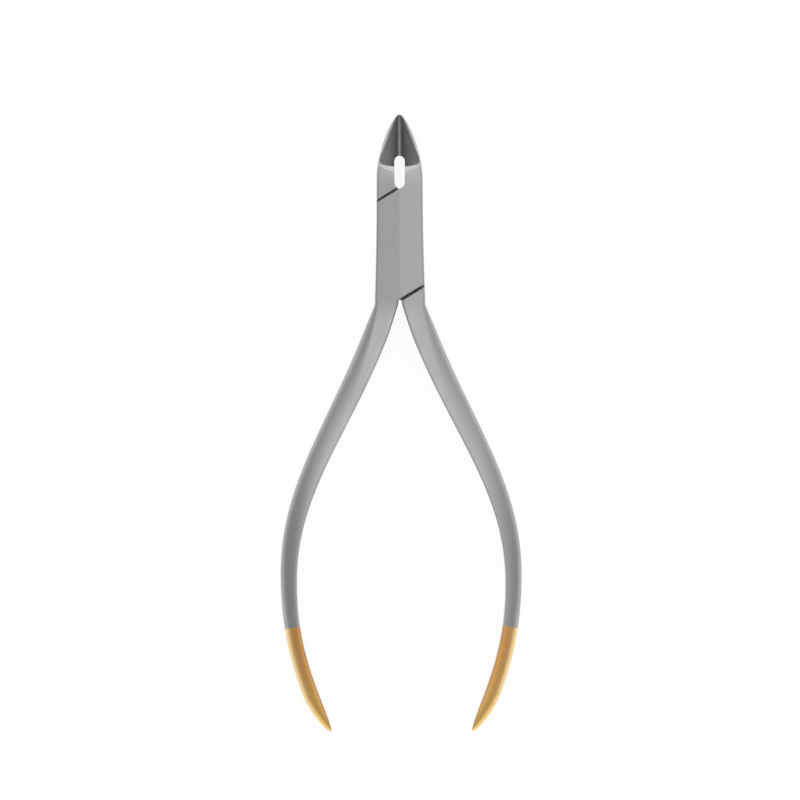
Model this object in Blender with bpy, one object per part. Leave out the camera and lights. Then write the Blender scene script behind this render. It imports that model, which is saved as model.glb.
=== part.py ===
# Cutting pliers for hard orthodontic wire: two stainless levers that cross in a lap joint,
# two hard-metal cutting inserts brazed into the jaws, and one flush rivet that joins the levers.
#
# Metres. The pivot axis is +Z through the origin, +Y runs to the tip, and the back of the
# joint lies on Z = 0. Both levers are one forging. It is modelled once, as the back lever:
# jaw on -X, plate at the back, handle on +X. The front lever is the same forging turned over
# about Y, so its jaw is on +X, its plate is in front and its handle is on -X.

import math

import bmesh
import bpy

# Lap joint: each shoulder is a line at SHOULDER_REACH from the pivot axis, so it
# swings clear of the plate that it faces at every angle
SHOULDER_ANGLE = math.radians(31)
SHOULDER_REACH = 0.01043
SHOULDER_GAP = 0.00045
LAP_GAP = 0.00006
JAW_GAP = 0.00020
CROTCH_GAP = 0.00070

# Joint block
JOINT_WIDTH = 0.00968
JOINT_FOOT_WIDTH = 0.0106
JOINT_THICKNESS = 0.0064
EDGE_RADIUS = 0.00050
EDGE_CHAMFER = 0.00022

# Nose
NOSE_ROOT_Y = 0.0139
TIP_Y = 0.02739
TIP_FLAT = 0.0003
TIP_ROUND = 0.0014
TIP_THICKNESS = 0.0020
NOSE_FULLNESS = 0.0060
NOSE_THINNING = 1.3
NOSE_ROUND_WIDTH = 0.0007
NOSE_ROUND_LENGTH = 0.0030

# Handle centre line: it leaves the joint's foot, swings out to the bow and comes in to the end
ROOT_LEAN = math.radians(18.6)
ROOT_PULL = 0.0262
BOW_X = 0.02369
BOW_TO_END = 0.0327
BOW_PULL_UP = 0.0209
BOW_PULL_DOWN = 0.0129
END_X = 0.0159
END_Y = -0.1031
END_LEAN = math.radians(22.4)
END_PULL = 0.0132

# Handle section: nearly flat on its inner side, with a full round on its outer side
ROOT_WIDTH = 0.00463
SHANK_WIDTH = 0.00509
SHANK_DROP = 0.0073
GRIP_WIDTH = 0.00319
GRIP_LENGTH = 0.0176
GRIP_THICKNESS = 0.0056
THINNING_DROP = 0.0327
OUTER_SHARE = 0.72
INNER_SHARE = 0.26
OUTER_ROUND = 0.84
INNER_ROUND = 0.15

# Root of the handle: a facet opens on its outer side and turns into the full round
FACET_DROP = 0.0012
FACET_WIDTH_RUN = 0.019
FACET_DEPTH_RUN = 0.014
FACET_SPREAD = 0.75
FACET_POWER = 1.45
FACET_FADE = 0.022
INNER_RUN = 0.010

# Grip: its highest line moves to the inner side, so that the whole face leans outwards
GRIP_DROP = 0.026
GRIP_RUN = 0.026
GRIP_OUTER_SHARE = 0.93
GRIP_INNER_SHARE = 0.05
GRIP_POWER = 1.45

# Handle end, which runs out to a point on its inner side
END_LENGTH = 0.0094
END_FULLNESS = 1.7
END_SHARPNESS = 0.6
END_INNER_ROUND = 0.12
END_INNER_POWER = 6
PLATED_LENGTH = 0.0224

# Slot between the jaws, below the cutting edges
WINDOW_WIDTH = 0.0022
WINDOW_LENGTH = 0.0069
WINDOW_LEDGE = 0.00013

# Cutting face: a honed facet beside the edge, then a hollow that opens to the rim
EDGE_GAP = 0.00003
EDGE_LAND = 0.00002
HONED_WIDTH = 0.00032
HONED_ANGLE = math.radians(26)
BEVEL_START = math.radians(48)
BEVEL_RADIUS = 0.0075

# Step from the joint's face down to the cutting faces: a soft brink, then a steep slope, both
# on arcs past the joint's sides
STEP_RISE = 0.00125
STEP_OVERRUN = 0.0032
STEP_SLOPE = math.radians(42)
BRINK_RUN = 0.0026
BRINK_DROP = 0.00016
LEAST_STEP = 0.00001

# Insert seat: its sides run straight from the tip and leave a steel rim outside them
SEAT_RISE = 0.00115
SEAT_BOW = 0.00045
SEAT_CORNER = 0.0010
SEAT_TIP_HALF = 0.00037
SEAT_LEAN = math.radians(21.7)
RIM_FOOT = 0.00020
RIM_FOOT_RUN = 0.0021
BRAZE_SEAM = 0.00003

# Rivet
RIVET_RADIUS = 0.0019
HEAD_RADIUS = 0.0027
HEAD_DEPTH = 0.0009
RIVET_CLEARANCE = 0.00004
SWAGE_SEAM = 0.00001

# Facets
CORNER_STEPS = 6
NOSE_STEPS = 12
NOSE_CROWDING = 1.4
JOINT_STEPS = 3
FAN_STEPS = 3
FAN_LAG = 0.93
UPPER_STEPS = 22
ROOT_CROWDING = 1.5
BOW_STEPS = 5
PLATED_STEPS = 6
END_STEPS = 9
BEVEL_STEPS = 8
BRINK_STEPS = 3
ROUND_STEPS = 10
SEAT_FOOT_STEPS = 4
SEAT_CORNER_STEPS = 4
RIVET_STEPS = 48
SMOOTH_ANGLE = math.radians(28)

# Places that follow from the sizes
MID = JOINT_THICKNESS / 2
PLATE_REACH = SHOULDER_REACH - SHOULDER_GAP
ROOT_X = (CROTCH_GAP + ROOT_WIDTH) / 2
ROOT_Y = -SHOULDER_REACH / math.cos(SHOULDER_ANGLE)
BOW_Y = END_Y + BOW_TO_END
WINDOW_BOTTOM_Y = PLATE_REACH / math.cos(SHOULDER_ANGLE) + WINDOW_LEDGE
WINDOW_TOP_Y = WINDOW_BOTTOM_Y + WINDOW_LENGTH
STEP_Y = NOSE_ROOT_Y + STEP_RISE
STEP_RADIUS = JOINT_WIDTH / 2 + STEP_OVERRUN
SEAT_Y = STEP_Y + SEAT_RISE
SEAT_SIDE_Y = SEAT_Y + SEAT_BOW + SEAT_CORNER
BESIDE = JOINT_FOOT_WIDTH
PAST = 0.001


def mix(a, b, share):
    return a + (b - a) * share


def clamp(share):
    return min(max(share, 0.0), 1.0)


def smooth(share):
    share = clamp(share)
    return share * share * (3 - 2 * share)


def where(value_at, target):
    """Share from 0 to 1 at which a value that steadily rises or falls reaches its target."""
    low, high = 0.0, 1.0
    rising = value_at(1) > value_at(0)
    for _ in range(40):
        middle = (low + high) / 2
        if (value_at(middle) < target) == rising:
            low = middle
        else:
            high = middle
    return middle


def bezier(points, t):
    """Point at t on a cubic curve through four control points."""
    weights = ((1 - t) ** 3, 3 * (1 - t) ** 2 * t, 3 * (1 - t) * t ** 2, t ** 3)
    return tuple(sum(w * p[axis] for w, p in zip(weights, points)) for axis in (0, 1))


def bezier_slope(points, t):
    """Unit direction of travel at t on a cubic curve."""
    weights = ((1 - t) ** 2, 2 * (1 - t) * t, t ** 2)
    steps = [(b[0] - a[0], b[1] - a[1]) for a, b in zip(points, points[1:])]
    x, y = (sum(w * step[axis] for w, step in zip(weights, steps)) for axis in (0, 1))
    size = math.hypot(x, y)
    return x / size, y / size


def clear_scene():
    for obj in list(bpy.data.objects):
        bpy.data.objects.remove(obj, do_unlink=True)


def metal(name, colour, roughness):
    material = bpy.data.materials.new(name)
    material.use_nodes = True
    shader = material.node_tree.nodes["Principled BSDF"]
    shader.inputs["Base Color"].default_value = (*colour, 1)
    shader.inputs["Metallic"].default_value = 1
    shader.inputs["Roughness"].default_value = roughness
    return material


def mesh_from(name, bm):
    bmesh.ops.recalc_face_normals(bm, faces=bm.faces)
    mesh = bpy.data.meshes.new(name)
    bm.to_mesh(mesh)
    bm.free()
    return mesh


def loft(name, rings):
    """Closed skin over a row of rings that have the same number of points."""
    bm = bmesh.new()
    loops = [[bm.verts.new(point) for point in ring] for ring in rings]
    for low, high in zip(loops, loops[1:]):
        for i in range(len(low)):
            j = (i + 1) % len(low)
            bm.faces.new((low[i], low[j], high[j], high[i]))
    bm.faces.new(loops[0])
    bm.faces.new(loops[-1])
    return mesh_from(name, bm)


def prism(name, outline_at, levels):
    """Solid that stands along Z; outline_at(flare) gives its outline at each (z, flare) level."""
    return loft(name, [[(x, y, z) for x, y in outline_at(flare)] for z, flare in levels])


def turned(name, profile, steps=RIVET_STEPS):
    """Solid turned about the pivot axis from (radius, z) points."""
    angles = [2 * math.pi * i / steps for i in range(steps)]
    rings = [[(r * math.cos(a), r * math.sin(a), z) for a in angles] for r, z in profile]
    return loft(name, rings)


def arc(centre, radius, start, end, steps):
    """Points on a round stretch from start to end, in degrees."""
    points = []
    for i in range(steps + 1):
        angle = math.radians(mix(start, end, i / steps))
        points.append((centre[0] + radius * math.cos(angle), centre[1] + radius * math.sin(angle)))
    return points


# Outline of the forging

def nose_edge(t):
    """Half width and Y of the pointed nose, from its root at t = 0 to the tip at t = 1."""
    half = JOINT_WIDTH / 2
    root = (half, NOSE_ROOT_Y)
    full = (half, NOSE_ROOT_Y + NOSE_FULLNESS)
    return bezier((root, full, (TIP_ROUND, TIP_Y), (0, TIP_Y)), t)


def joint_half(y):
    """Half width of the joint block, which spreads a little towards its foot."""
    share = (NOSE_ROOT_Y - y) / (NOSE_ROOT_Y - ROOT_Y)
    return mix(JOINT_WIDTH, JOINT_FOOT_WIDTH, share ** 2) / 2


def shoulder_y(x, reach):
    """Y on the upper shoulder line at a distance x from the middle, on the side it falls to."""
    return (reach - math.sin(SHOULDER_ANGLE) * x) / math.cos(SHOULDER_ANGLE)


def powered(value, power):
    return math.copysign(abs(value) ** power, value)


def section(outer, inner, half, outer_corner, inner_corner, power=1.0):
    """Ring round a cross-section between two points in plan, with four rounded corners.
    Each corner is given by its width in plan and its height along Z, and a power above 1
    flattens the outer ones towards a facet."""
    run = (inner[0] - outer[0], inner[1] - outer[1])
    width = math.hypot(*run)
    along = (run[0] / width, run[1] / width)
    outer_middle = outer_corner[0]
    inner_middle = width - inner_corner[0]
    corners = ((outer_corner, outer_middle, 1, 90, power), (outer_corner, outer_middle, -1, 0, power),
               (inner_corner, inner_middle, -1, -90, 1.0), (inner_corner, inner_middle, 1, -180, 1.0))
    ring = []
    for (wide, high), middle, side, start, bend in corners:
        for i in range(CORNER_STEPS + 1):
            angle = math.radians(start - 90 * i / CORNER_STEPS)
            distance = middle - wide * powered(math.cos(angle), bend)
            z = MID + side * (half - high) + high * powered(math.sin(angle), bend)
            ring.append((outer[0] + along[0] * distance, outer[1] + along[1] * distance, z))
    return ring


def nose_rings():
    """Rings of the nose from the tip to its root, rounded like a bullet beyond the step."""
    tip = where(lambda t: nose_edge(t)[0], TIP_FLAT / 2)
    rings = []
    for i in range(NOSE_STEPS + 1):
        half_width, y = nose_edge(tip * (1 - (i / NOSE_STEPS) ** NOSE_CROWDING))
        thinned = max((y - STEP_Y) / (TIP_Y - STEP_Y), 0) ** NOSE_THINNING
        rounded = smooth((y - STEP_Y) / NOSE_ROUND_LENGTH)
        half = mix(JOINT_THICKNESS, TIP_THICKNESS, thinned) / 2
        wide = min(mix(EDGE_RADIUS, NOSE_ROUND_WIDTH, rounded), OUTER_ROUND * half_width)
        corner = (wide, mix(EDGE_RADIUS, OUTER_ROUND * half, rounded))
        rings.append(section((half_width, y), (-half_width, y), half, corner, corner))
    return rings


def foot_corner_y():
    """Y where the joint's side meets the plate's foot."""
    y = ROOT_Y
    for _ in range(20):
        y = -shoulder_y(joint_half(y), PLATE_REACH)
    return y


def joint_rings():
    """Rings of the joint block, which then fan along the plate's slanting foot to the crotch."""
    corner = (EDGE_RADIUS, EDGE_RADIUS)
    corner_y = foot_corner_y()
    foot = (-joint_half(corner_y), corner_y)
    crotch = (CROTCH_GAP / 2, -shoulder_y(-CROTCH_GAP / 2, PLATE_REACH))
    rings = []
    for i in range(1, JOINT_STEPS + 1):
        y = mix(NOSE_ROOT_Y, corner_y, i / (JOINT_STEPS + 1))
        rings.append(section((joint_half(y), y), (-joint_half(y), y), MID, corner, corner))
    for i in range(FAN_STEPS + 1):
        share = i / FAN_STEPS
        y = mix(corner_y, crotch[1], share * FAN_LAG)
        inner = (mix(foot[0], crotch[0], share), mix(foot[1], crotch[1], share))
        rings.append(section((joint_half(y), y), inner, MID, corner, corner))
    return rings


def handle_curves():
    """The centre line as two cubic curves that meet at the bow."""
    root = (ROOT_X, ROOT_Y)
    leaving = (ROOT_X + ROOT_PULL * math.sin(ROOT_LEAN), ROOT_Y - ROOT_PULL * math.cos(ROOT_LEAN))
    bow = (BOW_X, BOW_Y)
    end = (END_X, END_Y)
    arriving = (END_X + END_PULL * math.sin(END_LEAN), END_Y + END_PULL * math.cos(END_LEAN))
    upper = (root, leaving, (BOW_X, BOW_Y + BOW_PULL_UP), bow)
    lower = (bow, (BOW_X, BOW_Y - BOW_PULL_DOWN), arriving, end)
    return upper, lower


def handle_width(y):
    """Width across the handle: it swells a little below the joint, then slims to the grip."""
    shank_y = ROOT_Y - SHANK_DROP
    if y > shank_y:
        return mix(ROOT_WIDTH, SHANK_WIDTH, smooth((ROOT_Y - y) / SHANK_DROP))
    slimmed = smooth((shank_y - y) / (shank_y - END_Y - GRIP_LENGTH))
    return mix(SHANK_WIDTH, GRIP_WIDTH, slimmed)


def handle_section(curve, t, used=0.0):
    """Ring across the handle. used is the share of the rounded end that is passed."""
    centre = bezier(curve, t)
    travel = bezier_slope(curve, t)
    width = handle_width(centre[1])
    inner_cut = END_INNER_ROUND * used ** END_INNER_POWER
    outer_side = width * ((1 - used ** END_FULLNESS) ** END_SHARPNESS - 0.5 + inner_cut)
    inner_side = width * (0.5 - inner_cut)
    outer = (centre[0] - travel[1] * outer_side, centre[1] + travel[0] * outer_side)
    inner = (centre[0] + travel[1] * inner_side, centre[1] - travel[0] * inner_side)
    outer = (max(outer[0], joint_half(max(outer[1], ROOT_Y))), outer[1])
    width = math.dist(outer, inner)
    drop = ROOT_Y - centre[1]
    half = mix(JOINT_THICKNESS, GRIP_THICKNESS, smooth(drop / THINNING_DROP)) / 2 * math.sqrt(1 - used ** 2)
    widened = clamp((drop - FACET_DROP) / FACET_WIDTH_RUN) ** FACET_SPREAD
    deepened = clamp((drop - FACET_DROP) / FACET_DEPTH_RUN) ** FACET_SPREAD
    rounded = smooth(drop / INNER_RUN)
    gripped = smooth((drop - GRIP_DROP) / GRIP_RUN)
    outer_share = mix(OUTER_SHARE, GRIP_OUTER_SHARE, gripped)
    inner_share = mix(INNER_SHARE, GRIP_INNER_SHARE, gripped)
    outer_corner = (mix(EDGE_RADIUS, outer_share * width, widened),
                    mix(EDGE_RADIUS, OUTER_ROUND * half, deepened))
    inner_corner = (mix(EDGE_RADIUS, inner_share * width, rounded),
                    mix(EDGE_RADIUS, INNER_ROUND * half, rounded))
    power = mix(mix(FACET_POWER, 1.0, smooth(drop / FACET_FADE)), GRIP_POWER, gripped)
    return section(outer, inner, half, outer_corner, inner_corner, power)


def handle_rings():
    """Rings from the joint's foot to the end, and how many of them come before the plating."""
    upper, lower = handle_curves()
    plating = where(lambda t: bezier(lower, t)[1], END_Y + PLATED_LENGTH)
    rounding = where(lambda t: bezier(lower, t)[1], END_Y + END_LENGTH * math.cos(END_LEAN))
    rings = [handle_section(upper, (i / UPPER_STEPS) ** ROOT_CROWDING) for i in range(UPPER_STEPS + 1)]
    rings += [handle_section(lower, plating * i / BOW_STEPS) for i in range(1, BOW_STEPS + 1)]
    plain = len(rings)
    for i in range(1, PLATED_STEPS + 1):
        rings.append(handle_section(lower, mix(plating, rounding, i / PLATED_STEPS)))
    for i in range(1, END_STEPS + 1):
        used = math.sin(math.pi / 2 * i / (END_STEPS + 1))
        rings.append(handle_section(lower, mix(rounding, 1, used), used))
    return rings, plain


def forging_mesh():
    """The whole lever before any cut, with its plated end as a second material."""
    head = nose_rings() + joint_rings()
    handle, plain = handle_rings()
    rings = head + handle
    mesh = loft("lever_forging", rings)
    first_plated = (len(head) + plain - 1) * len(rings[0])
    for face in mesh.polygons:
        if min(face.vertices) >= first_plated:
            face.material_index = 1
    return mesh


# Cutters, in the back lever's own frame

def far_jaw_outline(flare):
    """Everything above the plate's slanting top on the side of the other jaw."""
    reach = PLATE_REACH - flare
    near = -JAW_GAP / 2
    above = TIP_Y + PAST
    slant = [(near, shoulder_y(near, reach)), (BESIDE, shoulder_y(BESIDE, reach))]
    return [(near, above)] + slant + [(BESIDE, above)]


def lap_outline(flare):
    """The hollow that the other lever's plate lies in, between this lever's two shoulders."""
    reach = SHOULDER_REACH + flare
    across = JAW_GAP / 2
    top = shoulder_y(-across, reach)
    upper = [(-BESIDE, shoulder_y(BESIDE, reach)), (across, top), (BESIDE, top)]
    return upper + [(-x, -y) for x, y in upper]


def window_outline(flare):
    radius = WINDOW_WIDTH / 2
    top = arc((0, WINDOW_TOP_Y - radius), radius, 0, 180, ROUND_STEPS)
    return top + arc((0, WINDOW_BOTTOM_Y + radius), radius, 180, 360, ROUND_STEPS)


def seat_wall(t):
    """Seat's side at t along the nose: straight down from the tip, then beside the nose's edge."""
    half_width, y = nose_edge(t)
    straight = SEAT_TIP_HALF + (TIP_Y - y) * math.tan(SEAT_LEAN)
    beside = smooth((SEAT_SIDE_Y + RIM_FOOT_RUN - y) / RIM_FOOT_RUN)
    return mix(straight, half_width - RIM_FOOT, beside), y


def seat_foot_y(x):
    """Y of the seat's lower edge, which bows down towards the middle like the step."""
    return SEAT_Y + SEAT_BOW * (x / (JOINT_WIDTH / 2 - SEAT_CORNER)) ** 2


def seat_outline(shrink):
    """Seat of the insert in the left jaw; shrink draws the insert's own edge inside it."""
    start = where(lambda t: nose_edge(t)[1], SEAT_SIDE_Y)
    wall = [seat_wall(mix(start, 1, i / ROUND_STEPS)) for i in range(ROUND_STEPS + 1)]
    wall = [(shrink - x, y) for x, y in wall]
    centre = (wall[0][0] - shrink + SEAT_CORNER, SEAT_SIDE_Y)
    corner = arc(centre, SEAT_CORNER - shrink, 270, 180, SEAT_CORNER_STEPS)
    middle = PAST if shrink == 0 else -EDGE_GAP / 2
    places = [centre[0] * i / SEAT_FOOT_STEPS for i in range(1, SEAT_FOOT_STEPS)]
    foot = [(x, seat_foot_y(x) + shrink) for x in places]
    past_tip = [(wall[-1][0], TIP_Y + PAST), (middle, TIP_Y + PAST)]
    return [(middle, SEAT_Y + shrink)] + foot + corner + wall[1:] + past_tip


def face_height(x):
    """Height of the cutting face above the middle of the thickness, at x from the edge."""
    x = abs(x)
    honed = min(x, HONED_WIDTH) * math.tan(HONED_ANGLE)
    run = max(x - HONED_WIDTH, 0)
    angle = math.asin(max(math.sin(BEVEL_START) - run / BEVEL_RADIUS, 0))
    return EDGE_LAND / 2 + honed + BEVEL_RADIUS * (math.cos(angle) - math.cos(BEVEL_START))


def bow_y(x, radius):
    """Y at x on a round line about the step's middle; the step bows down towards x = 0."""
    return STEP_Y + STEP_RADIUS - math.sqrt(max(radius ** 2 - x ** 2, 0))


def step_points(x):
    """Points (y, height) up the step at x: its foot, its steep slope and its soft brink."""
    low = face_height(x)
    crest = MID - BRINK_DROP
    foot = min(bow_y(x, STEP_RADIUS - (crest - low) / math.tan(STEP_SLOPE)), seat_foot_y(x))
    foot = max(foot, bow_y(x, STEP_RADIUS) + LEAST_STEP)
    radius = math.hypot(x, STEP_Y + STEP_RADIUS - foot)
    ledge = max(crest - (STEP_RADIUS - radius) * math.tan(STEP_SLOPE), low + LEAST_STEP)
    points = [(foot, low), (foot, ledge)]
    for i in range(BRINK_STEPS + 1):
        share = i / BRINK_STEPS
        points.append((bow_y(x, STEP_RADIUS + BRINK_RUN * share), MID - BRINK_DROP * (1 - share) ** 2))
    return points


def relief_mesh(side):
    """Cutter that grinds one pair of cutting faces; its lower end is the curved step."""
    last = joint_half(NOSE_ROOT_Y) + PAST
    half = [0.0] + [mix(HONED_WIDTH, last, i / BEVEL_STEPS) for i in range(BEVEL_STEPS + 1)]
    rings = []
    for x in [-x for x in reversed(half[1:])] + half:
        step = step_points(x)
        above = [(step[-1][0] - PAST, MID + PAST), (TIP_Y + PAST, MID + PAST), (TIP_Y + PAST, step[0][1])]
        rings.append([(x, y, MID + side * z) for y, z in step + above])
    return loft("relief", rings)


def bore_mesh(clearance):
    """Bore and countersink for the rivet, through the lever's plate."""
    radius = RIVET_RADIUS + clearance
    head = HEAD_RADIUS + clearance
    slope = (HEAD_RADIUS - RIVET_RADIUS) / HEAD_DEPTH
    profile = ((head + slope * PAST, -PAST), (radius, HEAD_DEPTH), (radius, MID + PAST))
    return turned("bore", profile)


def cutter(name, mesh, lever):
    obj = bpy.data.objects.new(name, mesh)
    obj.display_type = "WIRE"
    obj.hide_render = True
    obj.parent = lever
    bpy.context.scene.collection.objects.link(obj)
    return obj


def cut(target, tool, operation="DIFFERENCE"):
    boolean = target.modifiers.new(tool.name, "BOOLEAN")
    boolean.solver = "EXACT"
    boolean.operation = operation
    boolean.object = tool


def piece(name, mesh, parent, materials):
    obj = bpy.data.objects.new(name, mesh)
    for material in materials:
        mesh.materials.append(material)
    mesh.shade_smooth()
    mesh.set_sharp_from_angle(angle=SMOOTH_ANGLE)
    obj.parent = parent
    bpy.context.scene.collection.objects.link(obj)
    return obj


def axis_empty(name):
    empty = bpy.data.objects.new(name, None)
    empty.empty_display_size = JOINT_WIDTH
    bpy.context.scene.collection.objects.link(empty)
    return empty


def add_lever(name, axis, clearance, steel, plating):
    """One forging with its lap, window, cutting faces, seat and bore cut."""
    lever = piece(name, forging_mesh(), axis, (steel, plating))
    through = ((-PAST, 0), (JOINT_THICKNESS + PAST, 0))
    outer_face = ((-PAST, PAST + EDGE_CHAMFER), (EDGE_CHAMFER, 0), (JOINT_THICKNESS + PAST, 0))
    lap_depth = ((MID - LAP_GAP / 2, 0), (JOINT_THICKNESS - EDGE_CHAMFER, 0),
                 (JOINT_THICKNESS + PAST, PAST + EDGE_CHAMFER))
    crossing = [
        cutter(name + "_far_jaw", prism("far_jaw", far_jaw_outline, outer_face), lever),
        cutter(name + "_lap", prism("lap", lap_outline, lap_depth), lever),
    ]
    grinding = [
        cutter(name + "_window", prism("window", window_outline, through), lever),
        cutter(name + "_front_relief", relief_mesh(1), lever),
        cutter(name + "_back_relief", relief_mesh(-1), lever),
    ]
    seating = [
        cutter(name + "_seat", prism("seat", seat_outline, through), lever),
        cutter(name + "_bore", bore_mesh(clearance), lever),
    ]
    for tool in crossing + grinding + seating:
        cut(lever, tool)
    return lever, grinding


def add_insert(name, lever, grinding, carbide):
    """The insert that fills a lever's seat, with the same window and cutting faces."""
    insert = piece(name, loft("insert_blank", nose_rings()), lever, (carbide,))
    levels = ((-PAST, BRAZE_SEAM), (JOINT_THICKNESS + PAST, BRAZE_SEAM))
    outline = cutter(name + "_outline", prism("insert_outline", seat_outline, levels), lever)
    cut(insert, outline, "INTERSECT")
    for tool in grinding:
        cut(insert, tool)


def add_rivet(axis, steel):
    """Rivet with both heads ground flush, tight in the front lever and free in the back one."""
    profile = ((HEAD_RADIUS, 0), (RIVET_RADIUS, HEAD_DEPTH),
               (RIVET_RADIUS, JOINT_THICKNESS - HEAD_DEPTH), (HEAD_RADIUS, JOINT_THICKNESS))
    piece("pivot_rivet", turned("pivot_rivet", profile), axis, (steel,))


def main():
    clear_scene()
    steel = metal("satin stainless steel", (0.42, 0.42, 0.43), 0.36)
    plating = metal("gold plating on satin steel", (0.66, 0.38, 0.12), 0.30)
    carbide = metal("ground tungsten carbide", (0.12, 0.12, 0.125), 0.42)
    pin_steel = metal("hard pin steel", (0.38, 0.38, 0.39), 0.38)
    front_axis = axis_empty("front_half")
    back_axis = axis_empty("back_half")
    front, front_grinding = add_lever("front_lever", front_axis, SWAGE_SEAM, steel, plating)
    front.rotation_euler = (0, math.pi, 0)
    front.location = (0, 0, JOINT_THICKNESS)
    back, back_grinding = add_lever("back_lever", back_axis, RIVET_CLEARANCE, steel, plating)
    add_insert("right_insert", front, front_grinding, carbide)
    add_insert("left_insert", back, back_grinding, carbide)
    add_rivet(front_axis, pin_steel)


main()
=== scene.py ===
# Looks of a pair of cutting pliers for hard orthodontic wire, laid out as a Blender add-on.
# Metres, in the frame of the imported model: the pivot axis is +Z through the origin, +Y runs to
# the tip, and the back of the joint lies on Z = 0.

import math

import bmesh
import bpy
from bpy.props import FloatProperty, FloatVectorProperty, PointerProperty
from mathutils import Euler, Matrix, Vector


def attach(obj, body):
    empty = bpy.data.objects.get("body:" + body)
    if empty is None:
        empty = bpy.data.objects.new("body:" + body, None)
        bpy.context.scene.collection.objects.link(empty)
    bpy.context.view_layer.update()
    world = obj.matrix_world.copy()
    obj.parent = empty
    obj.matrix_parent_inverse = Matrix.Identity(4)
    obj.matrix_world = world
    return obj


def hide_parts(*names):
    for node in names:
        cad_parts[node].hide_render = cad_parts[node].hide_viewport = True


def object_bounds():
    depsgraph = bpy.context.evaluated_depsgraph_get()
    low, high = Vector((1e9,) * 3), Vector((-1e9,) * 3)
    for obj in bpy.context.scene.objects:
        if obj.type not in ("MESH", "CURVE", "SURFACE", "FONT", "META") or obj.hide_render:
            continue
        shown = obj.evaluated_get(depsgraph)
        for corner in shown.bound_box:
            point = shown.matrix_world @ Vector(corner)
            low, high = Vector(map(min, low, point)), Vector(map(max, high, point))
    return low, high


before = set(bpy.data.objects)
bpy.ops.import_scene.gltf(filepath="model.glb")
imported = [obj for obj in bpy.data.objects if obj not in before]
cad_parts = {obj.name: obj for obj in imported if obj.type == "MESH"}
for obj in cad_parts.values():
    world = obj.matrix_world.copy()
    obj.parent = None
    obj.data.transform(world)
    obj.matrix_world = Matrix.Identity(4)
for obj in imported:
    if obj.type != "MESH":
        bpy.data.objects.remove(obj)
CAD_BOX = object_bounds()

bl_info = {
    "name": "Wire cutter looks",
    "version": (1, 0, 0),
    "blender": (4, 5, 0),
    "location": "3D View > Sidebar > Wire cutter",
    "description": "Dresses the packed wire cutter with its forged, ground and plated surfaces",
    "category": "Object",
}

MM = 0.001

# Lap joint
SHOULDER_ANGLE = math.radians(31)
SHOULDER_REACH = 10.43 * MM
SHOULDER_GAP = 0.45 * MM
LAP_GAP = 0.06 * MM
JAW_GAP = 0.20 * MM
CROTCH_GAP = 0.70 * MM

# Joint block
JOINT_WIDTH = 9.68 * MM
JOINT_FOOT_WIDTH = 10.6 * MM
JOINT_THICKNESS = CAD_BOX[1].z - CAD_BOX[0].z
CROWN_FADE_TOP = -9.0 * MM
CROWN_FADE_LENGTH = 8.0 * MM

# Nose
NOSE_ROOT_Y = 13.9 * MM
TIP_Y = 27.39 * MM
TIP_FLAT = 0.3 * MM
TIP_ROUND = 1.4 * MM
TIP_THICKNESS = 2.0 * MM
NOSE_FULLNESS = 6.0 * MM
NOSE_THINNING = 1.3
NOSE_ROUND_WIDTH = 0.7 * MM
NOSE_ROUND_LENGTH = 3.0 * MM

# Handle centre line. BOW_X keeps the skin, which has finer steps, inside the solid's box.
ROOT_LEAN = math.radians(18.6)
ROOT_PULL = 26.2 * MM
BOW_X = 23.685 * MM
BOW_TO_END = 32.7 * MM
BOW_PULL_UP = 20.9 * MM
BOW_PULL_DOWN = 12.9 * MM
END_X = 15.9 * MM
END_Y = -103.1 * MM
END_LEAN = math.radians(22.4)
END_PULL = 13.2 * MM

# Handle section
ROOT_WIDTH = 4.63 * MM
SHANK_WIDTH = 5.09 * MM
SHANK_DROP = 7.3 * MM
GRIP_WIDTH = 3.19 * MM
GRIP_LENGTH = 17.6 * MM
GRIP_THICKNESS = 5.6 * MM
THINNING_DROP = 32.7 * MM
OUTER_SHARE = 0.72
INNER_SHARE = 0.26
OUTER_ROUND = 0.84
INNER_ROUND = 0.15

# Facet on the outer side of the handle's root, which turns into the full rounding
FACET_DROP = 1.2 * MM
FACET_WIDTH_RUN = 19.0 * MM
FACET_DEPTH_RUN = 14.0 * MM
FACET_SPREAD = 0.75
FACET_POWER = 1.45
FACET_FADE = 22.0 * MM
INNER_RUN = 10.0 * MM

# Grip: its highest line moves to the inner side, so that the whole face leans outwards
GRIP_DROP = 26.0 * MM
GRIP_RUN = 26.0 * MM
GRIP_OUTER_SHARE = 0.93
GRIP_INNER_SHARE = 0.05
GRIP_POWER = 1.45

# Handle end. Its rounding is a quarter turn, and the rings stop at END_REACH of it, as in the solid.
END_LENGTH = 9.4 * MM
END_FULLNESS = 1.7
END_SHARPNESS = 0.6
END_INNER_ROUND = 0.12
END_INNER_POWER = 6
END_REACH = 0.9
PLATED_LENGTH = 22.4 * MM

# Window between the jaws
WINDOW_WIDTH = 2.2 * MM
WINDOW_LENGTH = 6.9 * MM
WINDOW_LEDGE = 0.13 * MM

# Cutting faces
EDGE_GAP = 0.01 * MM
EDGE_LAND = 0.02 * MM
HONED_WIDTH = 0.32 * MM
HONED_ANGLE = math.radians(26)
BEVEL_START = math.radians(48)
BEVEL_RADIUS = 7.5 * MM
STEP_RISE = 1.25 * MM
STEP_OVERRUN = 3.2 * MM
STEP_SLOPE = math.radians(42)
BRINK_RUN = 2.6 * MM
BRINK_DROP = 0.16 * MM
LEAST_STEP = 0.01 * MM

# Insert seat
SEAT_RISE = 1.15 * MM
SEAT_BOW = 0.45 * MM
SEAT_CORNER = 1.0 * MM
SEAT_TIP_HALF = 0.37 * MM
SEAT_LEAN = math.radians(21.7)
RIM_FOOT = 0.20 * MM
RIM_FOOT_RUN = 2.1 * MM
BRAZE_SEAM = 0.03 * MM

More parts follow.
